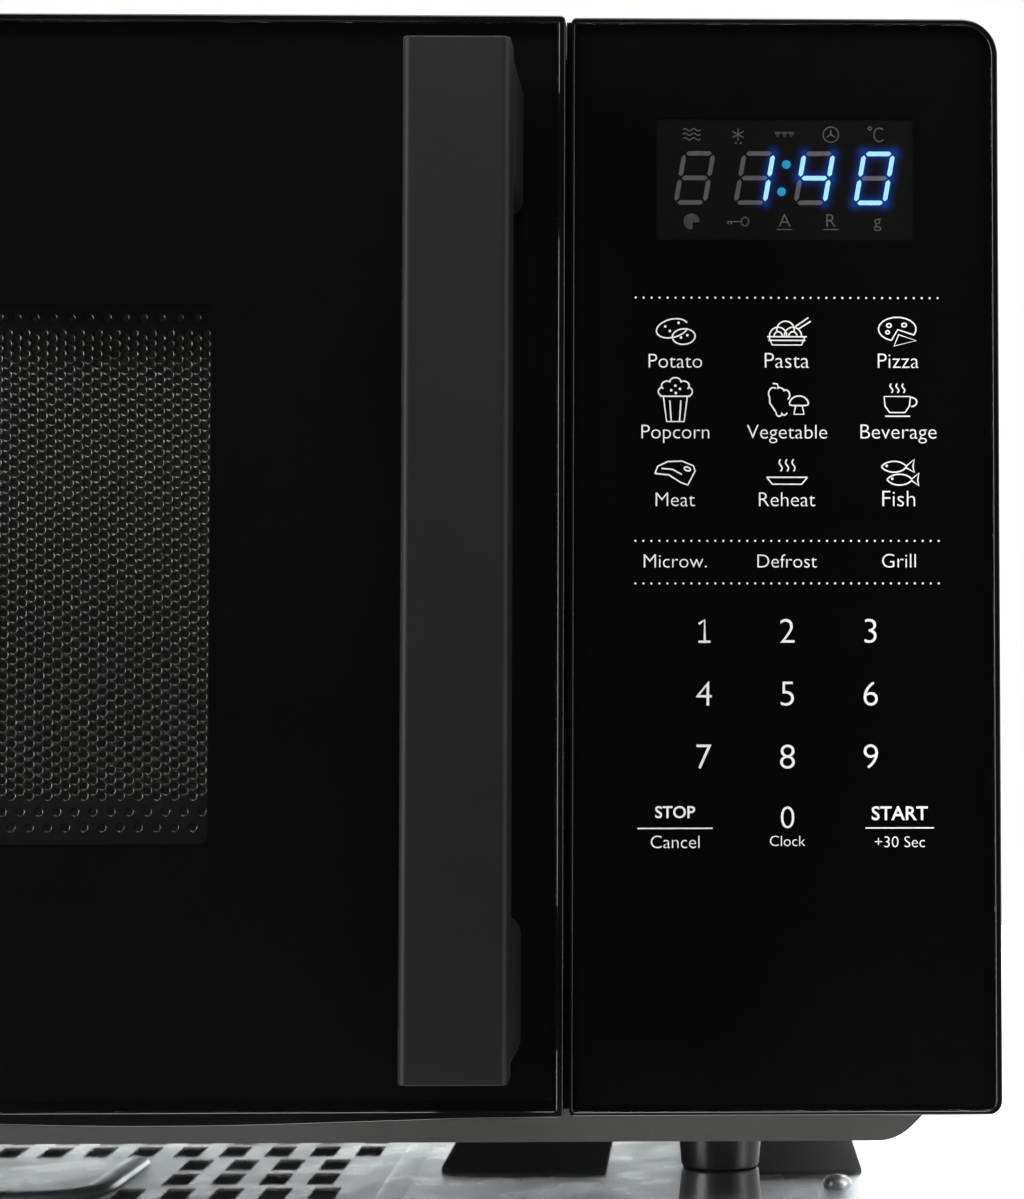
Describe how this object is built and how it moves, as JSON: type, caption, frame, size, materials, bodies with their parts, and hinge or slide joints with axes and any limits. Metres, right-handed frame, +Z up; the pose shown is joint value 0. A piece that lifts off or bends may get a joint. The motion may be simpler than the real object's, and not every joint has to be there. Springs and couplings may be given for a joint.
{
  "type": "microwave oven",
  "caption": "Free-standing microwave oven with grill: side-hinged glass door with bar handle, touch control panel, turntable cavity and full microwave generator.",
  "frame": {"origin": "on the surface the feet stand on, at the centre of the outline", "axes": "+Z up, -Y out of the door and control panel, +X to the viewer's right"},
  "size_m": [0.44, 0.404, 0.2575],
  "materials": {
    "plate_paint": "satin dark grey paint",
    "wrap_paint": "fine textured anthracite paint",
    "galvanised": "galvanised sheet with faint spangle",
    "cavity_enamel": "light grey enamel",
    "zinc": "zinc plated",
    "rubber": "matte black",
    "black_plastic": "fine texture",
    "gloss_black": "polished",
    "white_plastic": "moulded, natural",
    "grey_plastic": "moulded",
    "red_plastic": "moulded",
    "panel_glass": "polished, printed black behind",
    "door_glass": "polished, tinted",
    "clear_glass": "pressed, clear",
    "screen_steel": "satin black",
    "handle_grey": "satin dark grey lacquer",
    "circuit_board": "green solder mask",
    "mica": "pressed mica sheet",
    "aluminium": "stamped",
    "ferrite": "sintered",
    "copper": "bare copper",
    "lamination": "stacked sheet, oxidised",
    "winding": "enamelled wire",
    "heater_sheath": "heat darkened",
    "heater_ceramic": "unglazed"
  },
  "bodies": {
    "cabinet": {"front_plate": "plate_paint", "cavity_floor": "cavity_enamel", "cavity_roof": "cavity_enamel", "cavity_side_left": "cavity_enamel", "cavity_side_right": "cavity_enamel", "cavity_back": "cavity_enamel", "base_pan": "galvanised", "cabinet_wrap": "wrap_paint", "rear_panel": "galvanised", "rear_spacers": "rubber", "foot_1": "rubber", "foot_2": "rubber", "foot_3": "rubber", "foot_4": "rubber", "case_screws": "zinc", "cord_gland": "black_plastic", "hinge_bracket_upper": "zinc", "hinge_bracket_lower": "zinc", "latch_bracket": "white_plastic", "interlock_switches": "black_plastic", "control_panel_frame": "gloss_black", "control_glass": "panel_glass", "display_module": "black_plastic", "control_board": "circuit_board", "waveguide": "galvanised", "waveguide_cover": "mica", "magnetron_yoke": "galvanised", "magnetron_fins": "aluminium", "magnetron_magnets": "ferrite", "magnetron_core": "copper", "transformer_core": "lamination", "transformer_windings": "winding", "hv_capacitor": "aluminium", "capacitor_clamp": "zinc", "fan_shroud": "white_plastic", "fan_motor": "lamination", "noise_filter": "circuit_board", "cavity_lamp": "clear_glass", "lamp_holder": "zinc", "thermal_cutouts": "white_plastic", "grill_element": "heater_sheath", "grill_holders": "heater_ceramic", "turntable_motor": "zinc"},
    "door": {"door_frame": "gloss_black", "door_glass": "door_glass", "choke_panel": "screen_steel", "choke_cover": "black_plastic", "handle_bar": "handle_grey", "handle_posts": "handle_grey"},
    "latch": {"door_latch": "white_plastic"},
    "turntable_drive": {"drive_coupler": "white_plastic"},
    "turntable_plate": {"glass_turntable": "clear_glass"},
    "roller_carrier": {"roller_ring": "white_plastic"},
    "roller_wheel_1": {"roller_1": "grey_plastic"},
    "roller_wheel_2": {"roller_2": "grey_plastic"},
    "roller_wheel_3": {"roller_3": "grey_plastic"},
    "fan_wheel": {"fan_blade": "grey_plastic"},
    "plunger_1": {"switch_plunger_1": "red_plastic"},
    "plunger_2": {"switch_plunger_2": "red_plastic"},
    "plunger_3": {"switch_plunger_3": "red_plastic"}
  },
  "joints": [
    {"name": "door_hinge", "type": "hinge", "parent": "cabinet", "child": "door", "pos_m": [-0.211, -0.146, 0.138], "axis": [0, 0, -1], "range_deg": [0, 100]},
    {"name": "latch_slide", "type": "slide", "parent": "door", "child": "latch", "axis": [0, 0, 1], "range_m": [0, 0.004], "stiffness_N_per_m": 150, "springref_m": -0.002},
    {"name": "turntable_spin", "type": "hinge", "parent": "cabinet", "child": "turntable_drive", "pos_m": [-0.045, 0.0226, 0.04], "axis": [0, 0, 1], "continuous": true},
    {"name": "turntable_lift", "type": "slide", "parent": "turntable_drive", "child": "turntable_plate", "axis": [0, 0, 1], "range_m": [0, 0.06]},
    {"name": "roller_ring_spin", "type": "hinge", "parent": "cabinet", "child": "roller_carrier", "pos_m": [-0.045, 0.0226, 0.0408], "axis": [0, 0, 1], "continuous": true},
    {"name": "roller_1_spin", "type": "hinge", "parent": "roller_carrier", "child": "roller_wheel_1", "pos_m": [0.03424, 0.06835, 0.0408], "axis": [0.866, 0.5, 0], "continuous": true},
    {"name": "roller_2_spin", "type": "hinge", "parent": "roller_carrier", "child": "roller_wheel_2", "pos_m": [-0.12424, 0.06835, 0.0408], "axis": [-0.866, 0.5, 0], "continuous": true},
    {"name": "roller_3_spin", "type": "hinge", "parent": "roller_carrier", "child": "roller_wheel_3", "pos_m": [-0.045, -0.0689, 0.0408], "axis": [0, -1, 0], "continuous": true},
    {"name": "fan_spin", "type": "hinge", "parent": "cabinet", "child": "fan_wheel", "pos_m": [0.163, 0.16, 0.168], "axis": [0, 1, 0], "continuous": true},
    {"name": "plunger_1_press", "type": "slide", "parent": "cabinet", "child": "plunger_1", "axis": [1, 0, 0], "range_m": [0, 0.0008], "stiffness_N_per_m": 120, "springref_m": -0.0008},
    {"name": "plunger_2_press", "type": "slide", "parent": "cabinet", "child": "plunger_2", "axis": [1, 0, 0], "range_m": [0, 0.0008], "stiffness_N_per_m": 120, "springref_m": -0.0008},
    {"name": "plunger_3_press", "type": "slide", "parent": "cabinet", "child": "plunger_3", "axis": [1, 0, 0], "range_m": [0, 0.0008], "stiffness_N_per_m": 120, "springref_m": -0.0008}
  ],
  "couplings": [
    {"joint": "roller_ring_spin", "follows": "turntable_spin", "ratio": 0.5},
    {"joint": "roller_1_spin", "follows": "turntable_spin", "ratio": -6.1},
    {"joint": "roller_2_spin", "follows": "turntable_spin", "ratio": -6.1},
    {"joint": "roller_3_spin", "follows": "turntable_spin", "ratio": -6.1}
  ]
}
